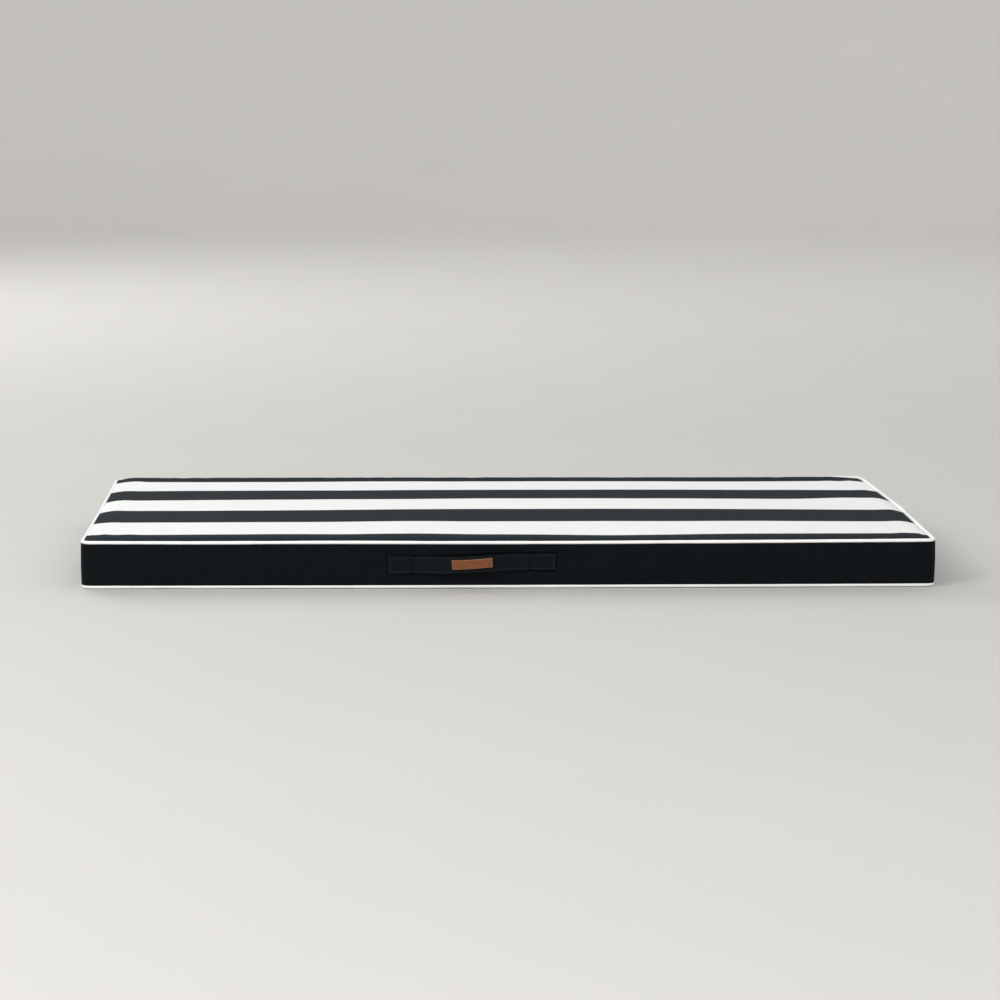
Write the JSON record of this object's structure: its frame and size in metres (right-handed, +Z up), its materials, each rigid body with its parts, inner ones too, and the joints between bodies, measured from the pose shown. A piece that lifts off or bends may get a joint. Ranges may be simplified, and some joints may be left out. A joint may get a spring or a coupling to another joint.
{
  "type": "bench cushion",
  "caption": "Long flat boxed bench cushion with a striped crowned top, contrast piping round both edges and a flat carrying handle on the front.",
  "frame": {"origin": "centre of the underside, on the face that the cushion rests on", "axes": "+X along the length, -Y towards the front with the carrying handle, +Z up through the crowned top"},
  "size_m": [0.9412, 0.4761, 0.0577],
  "materials": {
    "boxing_cloth": "matte black plain-weave cotton canvas",
    "striped_cloth": "matte plain-weave cotton canvas with even black and white stripes along the length",
    "piping_cloth": "matte white cotton over a round cord",
    "strap_cloth": "matte black cotton canvas, doubled and topstitched",
    "patch_leather": "smooth tan leather with cut edges"
  },
  "bodies": {
    "root": {"boxing_body": "boxing_cloth", "top_panel": "striped_cloth", "bottom_panel": "boxing_cloth", "top_piping": "piping_cloth", "bottom_piping": "piping_cloth", "handle_strap": "strap_cloth", "leather_patch": "patch_leather"}
  },
  "joints": []
}
